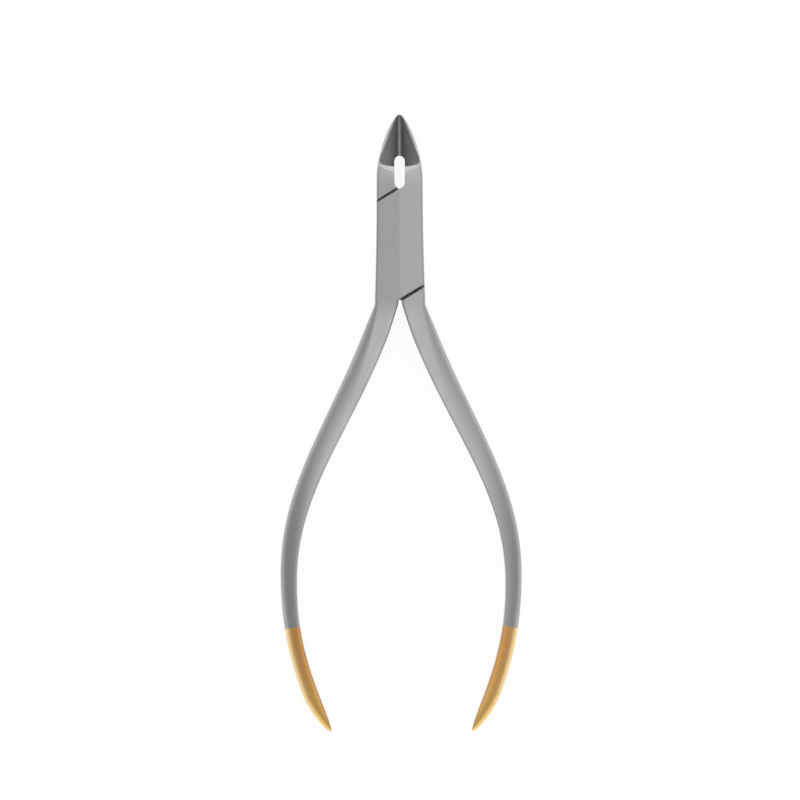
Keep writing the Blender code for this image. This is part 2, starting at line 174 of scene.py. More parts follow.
# Rivet
RIVET_RADIUS = 1.9 * MM
HEAD_RADIUS = 2.7 * MM
HEAD_DEPTH = 0.9 * MM
RIVET_CLEARANCE = 0.04 * MM
SWAGE_SEAM = 0.01 * MM

# Finish along the lever: blasted above BLASTED_Y, brushed on the grips below GRIP_Y, where the steel is also
# painted darker as painted shade
# Below the joint the handles are painted a little darker than the joint, as painted shade
JOINT_Y = -11.0 * MM
HANDLE_Y = -17.0 * MM
BLASTED_Y = -40.0 * MM
GRIP_Y = -72.0 * MM
# Towards the end from here the gold is painted lighter and yellower, as painted light
LIT_END_Y = -82.0 * MM
# Where the honed strip's painted highlight fades towards the tip
HONE_FADE_Y = 24.5 * MM

# How wide one colour passes into the next: the painted highlight at the brink, the painted shade between the
# joint's halves and the rubbed gold
BRINK_FADE = 3.5 * MM
HALF_BLEND = 0.4 * MM
HAND_BLEND = 3.0 * MM

# Sizes of a stain, of a rubbed patch and of a cloud of binder, along X, Y and Z
STAIN = (3.0 * MM, 9.0 * MM, 3.0 * MM)
RUBBED_PATCH = (3.0 * MM, 12.0 * MM, 3.0 * MM)
BINDER_CLOUD = (1.0 * MM, 1.0 * MM, 1.0 * MM)

# Zones by how far a surface turns to its handle's outer side: where each begins and is full. The outer gold
# is painted paler as a painted highlight, the inner gold darker as painted shade, and steel that turns
# inwards, short of the inner wall, lighter as a painted highlight
OUTER_GOLD = (0.45, 0.80)
INNER_GOLD = (0.05, -0.25)
OUTER_STEEL = (-0.30, 0.30)
INNER_WALL = (-0.40, -0.80)

# Roughness of each finish, between the low and the high places of its pattern
BLASTED_ROUGHNESS = 0.44
BRUSHED_ROUGHNESS = 0.32
STEEL_SPREAD = 0.03
GROUND_ROUGHNESS = (0.36, 0.50)
LAPPED_ROUGHNESS = (0.60, 0.75)
GOLD_ROUGHNESS = (0.25, 0.33)
CARBIDE_ROUGHNESS = (0.36, 0.48)
HONED_ROUGHNESS = (0.30, 0.36)

# Noise levels that count as low and high, and lines in multiples of the grinding line's spacing
NOISE_LEVELS = (0.3, 0.7)
BRUSHED_LINE = 30
WHEEL_LINE = 25
DIAMOND_LINE = 30
DIAMOND_SPACING = 1.5

# Burnished wear and painted highlight along the edges: its width, and how well the rounded and the true
# normal agree there
EDGE_WEAR_AND_HIGHLIGHT = 0.20 * MM
EDGE_LEVELS = (0.90, 0.995)
EDGE_SAMPLES = 4

# Depth of each finish's relief
STEEL_RELIEF = 0.0035 * MM
GROUND_RELIEF = 0.002 * MM
LAPPED_RELIEF = 0.004 * MM
GOLD_RELIEF = 0.003 * MM
CARBIDE_RELIEF = 0.003 * MM
HONED_RELIEF = 0.0005 * MM

# Most that each second colour covers: the stain, the lighter edges and brink with their burnished wear and
# painted highlight, the binder and the pin's own
STAIN_SHARE = 0.3
BURNISH_AND_HIGHLIGHT_SHARE = 0.5
HOLLOW_BINDER = 0.35
HONED_BINDER = 0.2
PIN_SHARE = 0.15

# Rubbed gold: the copper shows where a patch and its handle's share come to more than 0
PATCHES = (-0.5, 0.5)
RIGHT_RUBBED = -0.2
LEFT_RUBBED = 0.3

# Fineness of the meshes
CORNER_STEPS = 12
FACE_STEPS = 8
NOSE_STEPS = 30
NOSE_CROWDING = 1.4
JOINT_STEPS = 16
FAN_STEPS = 8
FAN_LAG = 0.93
UPPER_STEPS = 64
ROOT_CROWDING = 1.3
BOW_STEPS = 12
PLATED_STEPS = 16
END_STEPS = 18
BEVEL_STEPS = 28
BRINK_STEPS = 6
ROUND_STEPS = 24
SEAT_CORNER_STEPS = 8
SEAT_FOOT_STEPS = 8
RIVET_STEPS = 96
SMOOTH_ANGLE = math.radians(30)
HALVINGS = 40
FOOT_ROUNDS = 20

# Surfaces, by their place among a piece's materials
FORGED = 0
PLATED = 1
GROUND = 2
LAPPED = 3
HOLLOW = 0
HONED = 1

# Places that follow from the sizes
MID = JOINT_THICKNESS / 2
PLATE_REACH = SHOULDER_REACH - SHOULDER_GAP
ROOT_X = (CROTCH_GAP + ROOT_WIDTH) / 2
ROOT_Y = -SHOULDER_REACH / math.cos(SHOULDER_ANGLE)
BOW_Y = END_Y + BOW_TO_END
WINDOW_BOTTOM_Y = PLATE_REACH / math.cos(SHOULDER_ANGLE) + WINDOW_LEDGE
WINDOW_TOP_Y = WINDOW_BOTTOM_Y + WINDOW_LENGTH
STEP_Y = NOSE_ROOT_Y + STEP_RISE
STEP_RADIUS = JOINT_WIDTH / 2 + STEP_OVERRUN
SEAT_Y = STEP_Y + SEAT_RISE
SEAT_SIDE_Y = SEAT_Y + SEAT_BOW + SEAT_CORNER
BESIDE = JOINT_FOOT_WIDTH
PAST = 1.0 * MM

# Framing: 168.7 mm across at the middle of the thickness, seen from straight in front
PICTURE_WIDTH = 168.7 * MM
PICTURE_CENTRE = Vector((-0.10 * MM, -32.81 * MM, MID))
PICTURE_TURN = math.radians(-0.22)
LENS = 200.0
SENSOR = 36.0
CLIP_RATIO = 100

# Stage: the glow stands for the white background that the camera and the metal see
FLOOR_SIZE = 6.0
FLOOR_GLOW = 1.08
FLOOR_GLOW_SHARE = 0.84
TENT_LEVELS = ((-1.0, 0.90), (0.0, 0.60), (0.05, 0.43), (0.20, 0.40))

# Soft round panels: the way to the middle of each, and the angles between which it fades
OVERHEAD = ((0.22, 0.0, 1.0), 0, 66)
NEAR_PANEL = ((-0.35, -0.60, 1.0), 5, 34)
FAR_WALL = ((0.0, 1.0, 0.25), 10, 60)

# Settings that many nodes share
COLOURS = {"data_type": "RGBA"}
SOFT = {"interpolation_type": "SMOOTHSTEP"}
PLUS = {"operation": "ADD"}
TIMES = {"operation": "MULTIPLY"}
DOT = {"operation": "DOT_PRODUCT"}


def from_hex(text):
    """Linear red, green, blue and alpha of an sRGB colour written as hex."""
    values = [int(text[i:i + 2], 16) / 255 for i in (1, 3, 5)]
    linear = [v / 12.92 if v <= 0.04045 else ((v + 0.055) / 1.055) ** 2.4 for v in values]
    return (*linear, 1.0)


def colour(name, description, default):
    return FloatVectorProperty(name=name, description=description, subtype="COLOR", size=4,
                               min=0, max=1, default=from_hex(default))


def length(name, description, default):
    return FloatProperty(name=name, description=description, unit="LENGTH", precision=5,
                         min=0, default=default)


class WireCutterShape(bpy.types.PropertyGroup):
    """Small forms that the grinding and polishing leave"""

    crown: length("Crown", "How far the joint's faces fall from their middle ridge to the sides", 0.15 * MM)
    edge_radius: length("Edge radius", "Rounding along the sides of the joint block", 0.55 * MM)
    chamfer: length("Chamfer", "Broken edge on the shoulders", 0.22 * MM)
    window_chamfer: length("Window chamfer", "Broken edge round the window", 0.10 * MM)


class WireCutterFinish(bpy.types.PropertyGroup):
    """Colours and grain of the metals"""

    steel: colour("Steel", "Blasted stainless steel of the joint", "#C5C6C6")
    # Painted shade: the darker half of the joint's face
    shaded_half: colour("Second pass", "The joint's face where the second grinding pass ran", "#B8B9B9")
    # A little darker than the joint's steel, as painted shade
    handle_steel: colour("Handle steel", "Blasted stainless steel of the handles", "#C0C1C1")
    # Painted highlight on handle faces that turn towards their inner side
    handle_highlight: colour("Mopped steel", "Inner corners of the handles, rubbed by the mop", "#E2E2E2")
    # Painted darker than the handles, as painted shade
    shaded_grip_steel: colour("Grip steel", "Brushed steel of the grips", "#B4B5B5")
    # Lighter edges and step brink: burnished wear and painted highlight
    burnish_and_highlight: colour("Burnish", "Steel rubbed bright along the edges", "#D6D6D6")
    stain: colour("Stain", "Steel clouded by washing and heat", "#BDBDBC")
    ground_steel: colour("Ground steel", "Steel where a wheel has cut it", "#C8C9C9")
    # Oiled film that also stands for painted shade inside the joint
    oil_and_shade: colour("Oil", "Oil film inside the joint", "#A5A49E")
    lapped_steel: colour("Lapped steel", "Matt faces inside the joint", "#C8C8C8")
    pin_steel: colour("Pin steel", "Ends of the rivet", "#BABBBB")
    carbide: colour("Carbide", "Ground hard-metal inserts", "#929293")
    # Painted highlight: the honed strips are painted lighter than the carbide
    honed: colour("Honed edge", "Honed strips beside the cutting edges", "#B4B4B5")
    binder: colour("Binder", "Cobalt that stands out between the carbide grains", "#77777A")
    red_gold: colour("Red gold", "Plating on the faces of the handle ends", "#F6B46C")
    # Painted light: lighter, yellower gold towards the ends
    lit_end_gold: colour("End gold", "Thicker plating towards the ends", "#FFD07A")
    # Painted shade: darker gold on the inner sides
    shaded_gold: colour("Thin gold", "Plating on the inner sides", "#BE9058")
    # Painted highlight: paler gold on the outer sides
    highlight_gold: colour("Pale gold", "Thick plating on the outer sides", "#F8DA9E")
    strike: colour("Copper strike", "First layer that shows where the gold is rubbed away", "#A8683C")
    # A real bead leaves a dimple about 0.05 mm wide, and a wheel's lines are about 0.02 mm apart.
    # Both are drawn coarser, because they would be too fine to show.
    grit: length("Grit", "Width of one bead-blast dimple as drawn", 0.16 * MM)
    scratch: length("Grinding line", "Spacing of the grinding lines as drawn", 0.14 * MM)


class WireCutterStage(bpy.types.PropertyGroup):
    """Floor and light"""

    floor: colour("Floor", "Matt pale floor", "#F4F4F4")
    mirrored_floor: FloatProperty(name="Mirrored floor", min=0, max=1, default=1.0,
                                  description="Share of the floor's white that the metal shows")
    tent: FloatProperty(name="Tent", description="Strength of the light tent's walls", min=0, default=1.0)
    overhead: FloatProperty(name="Overhead", description="Strength of the panel above", min=0, default=0.30)
    near_panel: FloatProperty(name="Near panel", description="Strength of the panel over the handle ends",
                              min=0, default=0.15)
    far_wall: FloatProperty(name="Far wall", description="Strength of the panel beyond the tip",
                            min=0, default=1.0)


# Outlines and sections, in the back lever's own frame

def mix(a, b, share):
    return a + (b - a) * share


def clamp(share):
    return min(max(share, 0.0), 1.0)


def smooth(share):
    share = clamp(share)
    return share * share * (3 - 2 * share)


def where(value_at, target):
    """Share from 0 to 1 at which a value that steadily rises or falls reaches its target."""
    low, high = 0.0, 1.0
    rising = value_at(1) > value_at(0)
    for _ in range(HALVINGS):
        middle = (low + high) / 2
        if (value_at(middle) < target) == rising:
            low = middle
        else:
            high = middle
    return middle


def bezier(points, t):
    """Point at t on a cubic curve through four control points."""
    weights = ((1 - t) ** 3, 3 * (1 - t) ** 2 * t, 3 * (1 - t) * t ** 2, t ** 3)
    return tuple(sum(w * p[axis] for w, p in zip(weights, points)) for axis in (0, 1))


def bezier_slope(points, t):
    """Unit direction of travel at t on a cubic curve."""
    weights = ((1 - t) ** 2, 2 * (1 - t) * t, t ** 2)
    steps = [(b[0] - a[0], b[1] - a[1]) for a, b in zip(points, points[1:])]
    x, y = (sum(w * step[axis] for w, step in zip(weights, steps)) for axis in (0, 1))
    size = math.hypot(x, y)
    return x / size, y / size


def arc(centre, radius, start, end, steps):
    """Points on a round stretch from start to end, in degrees."""
    points = []
    for i in range(steps + 1):
        angle = math.radians(mix(start, end, i / steps))
        points.append((centre[0] + radius * math.cos(angle), centre[1] + radius * math.sin(angle)))
    return points


def nose_edge(t):
    """Half width and Y of the pointed nose, from its root at t = 0 to the tip at t = 1."""
    half = JOINT_WIDTH / 2
    root = (half, NOSE_ROOT_Y)
    full = (half, NOSE_ROOT_Y + NOSE_FULLNESS)
    return bezier((root, full, (TIP_ROUND, TIP_Y), (0, TIP_Y)), t)


def joint_half(y):
    """Half width of the joint block, which spreads a little towards its foot."""
    share = (NOSE_ROOT_Y - y) / (NOSE_ROOT_Y - ROOT_Y)
    return mix(JOINT_WIDTH, JOINT_FOOT_WIDTH, share ** 2) / 2


def shoulder_y(x, reach):
    """Y on the upper shoulder line at a distance x from the middle, on the side it falls to."""
    return (reach - math.sin(SHOULDER_ANGLE) * x) / math.cos(SHOULDER_ANGLE)


def crowned(x, y, z, crown):
    """Height after the crown: the faces fall evenly from a ridge at the middle to the sides."""
    share = min(abs(x) / (JOINT_WIDTH / 2), 1) * smooth((y - CROWN_FADE_TOP) / CROWN_FADE_LENGTH + 1)
    return MID + (z - MID) * (1 - share * crown / MID)


def section(outer, inner, half, outer_corner, inner_corner, crown, power=1.0):
    """Ring round a cross-section between two points in plan, with four rounded corners and
    evenly divided faces. A corner is given by its width in plan and its height along Z, and
    a power above 1 flattens the outer ones towards a facet."""
    run = (inner[0] - outer[0], inner[1] - outer[1])
    width = math.hypot(*run)
    outer_middle = outer_corner[0]
    inner_middle = width - inner_corner[0]
    corners = ((outer_corner, outer_middle, 1, 90, power), (outer_corner, outer_middle, -1, 0, power),
               (inner_corner, inner_middle, -1, -90, 1.0), (inner_corner, inner_middle, 1, -180, 1.0))
    points = []
    for (wide, high), middle, side, start, bend in corners:
        for i in range(CORNER_STEPS + 1):
            angle = math.radians(start - 90 * i / CORNER_STEPS)
            across = math.copysign(abs(math.cos(angle)) ** bend, math.cos(angle))
            up = math.copysign(abs(math.sin(angle)) ** bend, math.sin(angle))
            points.append((middle - wide * across, MID + side * (half - high) + high * up))
        if start in (0, -180):
            far = inner_middle if start == 0 else outer_middle
            near_d, near_z = points[-1]
            for i in range(1, FACE_STEPS):
                points.append((mix(near_d, far, i / FACE_STEPS), near_z))
    ring = []
    for distance, z in points:
        x = outer[0] + run[0] * distance / width
        y = outer[1] + run[1] * distance / width
        ring.append((x, y, crowned(x, y, z, crown)))
    return ring


def nose_rings(shape):
    """Rings of the nose from the tip to its root, rounded like a bullet beyond the step."""
    tip = where(lambda t: nose_edge(t)[0], TIP_FLAT / 2)
    rings = []
    for i in range(NOSE_STEPS + 1):
        half_width, y = nose_edge(tip * (1 - (i / NOSE_STEPS) ** NOSE_CROWDING))
        thinned = max((y - STEP_Y) / (TIP_Y - STEP_Y), 0) ** NOSE_THINNING
        rounded = smooth((y - STEP_Y) / NOSE_ROUND_LENGTH)
        half = mix(JOINT_THICKNESS, TIP_THICKNESS, thinned) / 2
        wide = min(mix(shape.edge_radius, NOSE_ROUND_WIDTH, rounded), OUTER_ROUND * half_width)
        corner = (wide, mix(shape.edge_radius, OUTER_ROUND * half, rounded))
        rings.append(section((half_width, y), (-half_width, y), half, corner, corner, shape.crown))
    return rings


def foot_corner_y():
    """Y where the joint's side meets the plate's foot, found by going from one to the other."""
    y = ROOT_Y
    for _ in range(FOOT_ROUNDS):
        y = -shoulder_y(joint_half(y), PLATE_REACH)
    return y


def joint_rings(shape):
    """Rings of the joint block, which then fan along the plate's slanting foot to the crotch."""
    corner = (shape.edge_radius, shape.edge_radius)
    corner_y = foot_corner_y()
    foot = (-joint_half(corner_y), corner_y)
    crotch = (CROTCH_GAP / 2, -shoulder_y(-CROTCH_GAP / 2, PLATE_REACH))
    rings = []
    for i in range(1, JOINT_STEPS + 1):
        y = mix(NOSE_ROOT_Y, corner_y, i / (JOINT_STEPS + 1))
        rings.append(section((joint_half(y), y), (-joint_half(y), y), MID, corner, corner, shape.crown))
    for i in range(FAN_STEPS + 1):
        share = i / FAN_STEPS
        y = mix(corner_y, crotch[1], share * FAN_LAG)
        inner = (mix(foot[0], crotch[0], share), mix(foot[1], crotch[1], share))
        rings.append(section((joint_half(y), y), inner, MID, corner, corner, shape.crown))
    return rings


def handle_curves():
    """The centre line as two cubic curves that meet at the bow."""
    root = (ROOT_X, ROOT_Y)
    leaving = (ROOT_X + ROOT_PULL * math.sin(ROOT_LEAN), ROOT_Y - ROOT_PULL * math.cos(ROOT_LEAN))
    bow = (BOW_X, BOW_Y)
    end = (END_X, END_Y)
    arriving = (END_X + END_PULL * math.sin(END_LEAN), END_Y + END_PULL * math.cos(END_LEAN))
    upper = (root, leaving, (BOW_X, BOW_Y + BOW_PULL_UP), bow)
    lower = (bow, (BOW_X, BOW_Y - BOW_PULL_DOWN), arriving, end)
    return upper, lower


def handle_width(y):
    """Width across the handle: it swells a little below the joint, then slims to the grip."""
    shank_y = ROOT_Y - SHANK_DROP
    if y > shank_y:
        return mix(ROOT_WIDTH, SHANK_WIDTH, smooth((ROOT_Y - y) / SHANK_DROP))
    slimmed = smooth((shank_y - y) / (shank_y - END_Y - GRIP_LENGTH))
    return mix(SHANK_WIDTH, GRIP_WIDTH, slimmed)


def handle_section(shape, curve, t, used=0.0):
    """Ring across the handle. used is the share of the rounded end that is passed."""
    centre = bezier(curve, t)
    travel = bezier_slope(curve, t)
    width = handle_width(centre[1])
    inner_cut = END_INNER_ROUND * used ** END_INNER_POWER
    outer_side = width * ((1 - used ** END_FULLNESS) ** END_SHARPNESS - 0.5 + inner_cut)
    inner_side = width * (0.5 - inner_cut)
    outer = (centre[0] - travel[1] * outer_side, centre[1] + travel[0] * outer_side)
    inner = (centre[0] + travel[1] * inner_side, centre[1] - travel[0] * inner_side)
    # The root's outer side never comes inside the joint's
    outer = (max(outer[0], joint_half(max(outer[1], ROOT_Y))), outer[1])
    width = math.dist(outer, inner)
    drop = ROOT_Y - centre[1]
    thickness = mix(JOINT_THICKNESS, GRIP_THICKNESS, smooth(drop / THINNING_DROP))
    half = thickness / 2 * math.sqrt(1 - used ** 2)
    widened = clamp((drop - FACET_DROP) / FACET_WIDTH_RUN) ** FACET_SPREAD
    deepened = clamp((drop - FACET_DROP) / FACET_DEPTH_RUN) ** FACET_SPREAD
    rounded = smooth(drop / INNER_RUN)
    gripped = smooth((drop - GRIP_DROP) / GRIP_RUN)
    power = mix(mix(FACET_POWER, 1.0, smooth(drop / FACET_FADE)), GRIP_POWER, gripped)
    outer_share = mix(OUTER_SHARE, GRIP_OUTER_SHARE, gripped)
    inner_share = mix(INNER_SHARE, GRIP_INNER_SHARE, gripped)
    outer_corner = (mix(shape.edge_radius, outer_share * width, widened),
                    mix(shape.edge_radius, OUTER_ROUND * half, deepened))
    inner_corner = (mix(shape.edge_radius, inner_share * width, rounded),
                    mix(shape.edge_radius, INNER_ROUND * half, rounded))
    return section(outer, inner, half, outer_corner, inner_corner, shape.crown, power)


def handle_rings(shape):
    """Rings from the joint's foot to the end, and how many of them come before the plating."""
    upper, lower = handle_curves()
    plating = where(lambda t: bezier(lower, t)[1], END_Y + PLATED_LENGTH)
    rounding = where(lambda t: bezier(lower, t)[1], END_Y + END_LENGTH * math.cos(END_LEAN))
    rings = [handle_section(shape, upper, (i / UPPER_STEPS) ** ROOT_CROWDING)
             for i in range(UPPER_STEPS + 1)]
    rings += [handle_section(shape, lower, plating * i / BOW_STEPS) for i in range(1, BOW_STEPS + 1)]
    plain = len(rings)
    for i in range(1, PLATED_STEPS + 1):
        rings.append(handle_section(shape, lower, mix(plating, rounding, i / PLATED_STEPS)))
    for i in range(1, END_STEPS + 1):
        used = math.sin(math.pi / 2 * END_REACH * i / END_STEPS)
        rings.append(handle_section(shape, lower, mix(rounding, 1, used), used))
    return rings, plain


# Meshes

def mesh_from(name, bm):
    bmesh.ops.recalc_face_normals(bm, faces=bm.faces)
    mesh = bpy.data.meshes.new(name)
    bm.to_mesh(mesh)
    bm.free()
    return mesh


def loft(name, rings, surface=FORGED):
    """Closed skin over a row of rings that have the same number of points."""
    bm = bmesh.new()
    loops = [[bm.verts.new(point) for point in ring] for ring in rings]
    for low, high in zip(loops, loops[1:]):
        for i in range(len(low)):
            j = (i + 1) % len(low)
            bm.faces.new((low[i], low[j], high[j], high[i]))
    bm.faces.new(loops[0])
    bm.faces.new(loops[-1])
    for face in bm.faces:
        face.material_index = surface
    return mesh_from(name, bm)


def forging_mesh(shape):
    """The whole lever before any cut, with its plated end as a second material."""
    head = nose_rings(shape) + joint_rings(shape)
    handle, plain = handle_rings(shape)
    rings = head + handle
    mesh = loft("lever_forging", rings)
    first_plated = (len(head) + plain - 1) * len(rings[0])
    for face in mesh.polygons:
        if min(face.vertices) >= first_plated:
            face.material_index = PLATED
    return mesh


def prism(name, outline_at, levels, surface=GROUND):
    """Solid that stands along Z; outline_at(flare) gives its outline at each (z, flare) level."""
    return loft(name, [[(x, y, z) for x, y in outline_at(flare)] for z, flare in levels], surface)


def turned(name, profile, surface=GROUND):
    """Solid turned about the pivot axis from (radius, z) points."""
    angles = [2 * math.pi * i / RIVET_STEPS for i in range(RIVET_STEPS)]
    rings = [[(r * math.cos(a), r * math.sin(a), z) for a in angles] for r, z in profile]
    return loft(name, rings, surface)


def far_jaw_outline(flare):
    """Everything above the plate's slanting top on the side of the other jaw."""
    reach = PLATE_REACH - flare
    near = -JAW_GAP / 2
    above = TIP_Y + PAST
    slant = [(near, shoulder_y(near, reach)), (BESIDE, shoulder_y(BESIDE, reach))]
    return [(near, above)] + slant + [(BESIDE, above)]


def lap_outline(flare):
    """The hollow that the other lever's plate lies in, between this lever's two shoulders."""
    reach = SHOULDER_REACH + flare
    across = JAW_GAP / 2
    top = shoulder_y(-across, reach)
    upper = [(-BESIDE, shoulder_y(BESIDE, reach)), (across, top), (BESIDE, top)]
    return upper + [(-x, -y) for x, y in upper]


def window_outline(flare):
    """The slot at the nose's root, straight at the sides and round at both ends."""
    radius = WINDOW_WIDTH / 2
    top = arc((0, WINDOW_TOP_Y - radius), radius + flare, 0, 180, ROUND_STEPS)
    return top + arc((0, WINDOW_BOTTOM_Y + radius), radius + flare, 180, 360, ROUND_STEPS)


def seat_wall(t):
    """Seat's side at t along the nose: straight down from the tip, then beside the nose's edge."""
    half_width, y = nose_edge(t)
    straight = SEAT_TIP_HALF + (TIP_Y - y) * math.tan(SEAT_LEAN)
    beside = smooth((SEAT_SIDE_Y + RIM_FOOT_RUN - y) / RIM_FOOT_RUN)
    return mix(straight, half_width - RIM_FOOT, beside), y


def seat_foot_y(x):
    """Y of the seat's lower edge, which bows down towards the middle like the step."""
    return SEAT_Y + SEAT_BOW * (x / (JOINT_WIDTH / 2 - SEAT_CORNER)) ** 2


def seat_outline(shrink):
    """Seat of the insert in the left jaw; shrink draws the insert's own edge inside it."""
    start = where(lambda t: nose_edge(t)[1], SEAT_SIDE_Y)
    wall = [seat_wall(mix(start, 1, i / ROUND_STEPS)) for i in range(ROUND_STEPS + 1)]
    wall = [(shrink - x, y) for x, y in wall]
    centre = (wall[0][0] - shrink + SEAT_CORNER, SEAT_SIDE_Y)
    corner = arc(centre, SEAT_CORNER - shrink, 270, 180, SEAT_CORNER_STEPS)
    middle = PAST if shrink == 0 else -EDGE_GAP / 2
    foot = [(centre[0] * i / SEAT_FOOT_STEPS, seat_foot_y(centre[0] * i / SEAT_FOOT_STEPS) + shrink)
            for i in range(1, SEAT_FOOT_STEPS)]
    past_tip = [(wall[-1][0], TIP_Y + PAST), (middle, TIP_Y + PAST)]
    return [(middle, SEAT_Y + shrink)] + foot + corner + wall[1:] + past_tip


def face_height(x):
    """Height of the cutting face above the middle of the thickness, at x from the edge."""
    x = abs(x)
    honed = min(x, HONED_WIDTH) * math.tan(HONED_ANGLE)
    run = max(x - HONED_WIDTH, 0)
    angle = math.asin(max(math.sin(BEVEL_START) - run / BEVEL_RADIUS, 0))
    return EDGE_LAND / 2 + honed + BEVEL_RADIUS * (math.cos(angle) - math.cos(BEVEL_START))


def bow_y(x, radius):
    """Y at x on a round line about the step's middle; the step bows down towards x = 0."""
    return STEP_Y + STEP_RADIUS - math.sqrt(max(radius ** 2 - x ** 2, 0))


def step_points(x):
    """Points (y, height) up the step at x: its foot, its steep slope and its soft brink."""
    low = face_height(x)
    crest = MID - BRINK_DROP
    foot = min(bow_y(x, STEP_RADIUS - (crest - low) / math.tan(STEP_SLOPE)), seat_foot_y(x))
    foot = max(foot, bow_y(x, STEP_RADIUS) + LEAST_STEP)
    radius = math.hypot(x, STEP_Y + STEP_RADIUS - foot)
    ledge = max(crest - (STEP_RADIUS - radius) * math.tan(STEP_SLOPE), low + LEAST_STEP)
    points = [(foot, low), (foot, ledge)]
    for i in range(BRINK_STEPS + 1):
        share = i / BRINK_STEPS
        points.append((bow_y(x, STEP_RADIUS + BRINK_RUN * share), MID - BRINK_DROP * (1 - share) ** 2))
    return points


def relief_mesh(side, hollow, honed):
    """Cutter that grinds one pair of cutting faces; its lower end is the curved step. The brink
    above the step keeps the forged surface, and the strips beside the edge are honed."""
    last = joint_half(NOSE_ROOT_Y) + PAST
    half = [0.0] + [mix(HONED_WIDTH, last, i / BEVEL_STEPS) for i in range(BEVEL_STEPS + 1)]
    rings = []
    for x in [-x for x in reversed(half[1:])] + half:
        step = step_points(x)
        above = [(step[-1][0] - PAST, MID + PAST), (TIP_Y + PAST, MID + PAST), (TIP_Y + PAST, step[0][1])]
        rings.append([(x, y, MID + side * z) for y, z in step + above])
    mesh = loft("relief", rings, hollow)
    for face in mesh.polygons:
        lowest = min(abs(mesh.vertices[i].co.z - MID) for i in face.vertices)
        if lowest > MID - 1.01 * BRINK_DROP:
            face.material_index = FORGED
        elif abs(face.center.x) < HONED_WIDTH and len(face.vertices) == 4:
            face.material_index = honed
    return mesh


def bore_mesh(clearance):
    """Bore and countersink for the rivet, through the lever's plate."""
    radius = RIVET_RADIUS + clearance
    head = HEAD_RADIUS + clearance
    slope = (HEAD_RADIUS - RIVET_RADIUS) / HEAD_DEPTH
    profile = ((head + slope * PAST, -PAST), (radius, HEAD_DEPTH), (radius, MID + PAST))
    return turned("bore", profile)


# Pieces

def cut_piece(name, mesh, cuts, materials):
    """A piece with its cuts made: cuts holds pairs of a mesh and a Boolean operation."""
    obj = bpy.data.objects.new(name, mesh)
    bpy.context.scene.collection.objects.link(obj)
    for material in materials:
        mesh.materials.append(material)
    tools = []
    for tool_mesh, operation in cuts:
        tool = bpy.data.objects.new(name + "_tool", tool_mesh)
        bpy.context.scene.collection.objects.link(tool)
        tools.append(tool)
        step = obj.modifiers.new("cut", "BOOLEAN")
        step.solver = "EXACT"
        step.operation = operation
        step.object = tool
    depsgraph = bpy.context.evaluated_depsgraph_get()
    made = bpy.data.meshes.new_from_object(obj.evaluated_get(depsgraph))
    obj.modifiers.clear()
    obj.data = made
    for tool in tools:
        bpy.data.objects.remove(tool, do_unlink=True)
    made.name = name
    made.shade_smooth()
    made.set_sharp_from_angle(angle=SMOOTH_ANGLE)
    even = obj.modifiers.new("even shading", "WEIGHTED_NORMAL")
    even.keep_sharp = True
    return obj


def grinding_cuts(shape, hollow, honed):
    """Cuts that the levers and the inserts share: the window and the ground faces."""
    chamfer = shape.window_chamfer
    through = ((-PAST, PAST + chamfer), (chamfer, 0),
               (JOINT_THICKNESS - chamfer, 0), (JOINT_THICKNESS + PAST, PAST + chamfer))
    return [
        (prism("window", window_outline, through, hollow), "DIFFERENCE"),
        (relief_mesh(1, hollow, honed), "DIFFERENCE"),
        (relief_mesh(-1, hollow, honed), "DIFFERENCE"),
    ]


def lever_cuts(shape, clearance):
    """Cuts of one lever: the far jaw, the lap, the grinding, the seat and the rivet's bore."""
    through = ((-PAST, 0), (JOINT_THICKNESS + PAST, 0))
    outer_face = ((-PAST, PAST + shape.chamfer), (shape.chamfer, 0), (JOINT_THICKNESS + PAST, 0))
    lap_depth = ((MID - LAP_GAP / 2, 0), (JOINT_THICKNESS - shape.chamfer, 0),
                 (JOINT_THICKNESS + PAST, PAST + shape.chamfer))
    crossing = [
        (prism("far_jaw", far_jaw_outline, outer_face), "DIFFERENCE"),
        (prism("lap", lap_outline, lap_depth, LAPPED), "DIFFERENCE"),
    ]
    seating = [
        (prism("seat", seat_outline, through), "DIFFERENCE"),
        (bore_mesh(clearance), "DIFFERENCE"),
    ]
    return crossing + grinding_cuts(shape, GROUND, GROUND) + seating


def turned_over(obj):
    """The front half is the same forging turned over about Y."""
    turn = Matrix.Translation((0, 0, JOINT_THICKNESS)) @ Matrix.Rotation(math.pi, 4, "Y")
    obj.data.transform(turn)


def ride_as(obj, body, node):
    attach(obj, body)
    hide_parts(node)


# Materials

def add_node(tree, kind, inputs=None, settings=None, output=0):
    """Add a node, set its inputs to values or link them to sockets, and give back one output.
    A mix of colours takes its share in 0 and its colours in 6 and 7, and gives them mixed in 2.
    A map range goes from the values in 1 and 2 to the values in 3 and 4."""
    node = tree.nodes.new(kind)
    for name, value in (settings or {}).items():
        setattr(node, name, value)
    for name, value in (inputs or {}).items():
        if isinstance(value, bpy.types.NodeSocket):
            tree.links.new(value, node.inputs[name])
        else:
            node.inputs[name].default_value = value
    return node.outputs[output]


def metal(name):
    """A metal, its tree and the place on the object from which its pattern is drawn."""
    material = bpy.data.materials.new(name)
    material.use_nodes = True
    tree = material.node_tree
    tree.nodes["Principled BSDF"].inputs["Metallic"].default_value = 1.0
    return material, tree, add_node(tree, "ShaderNodeTexCoord", output="Object")


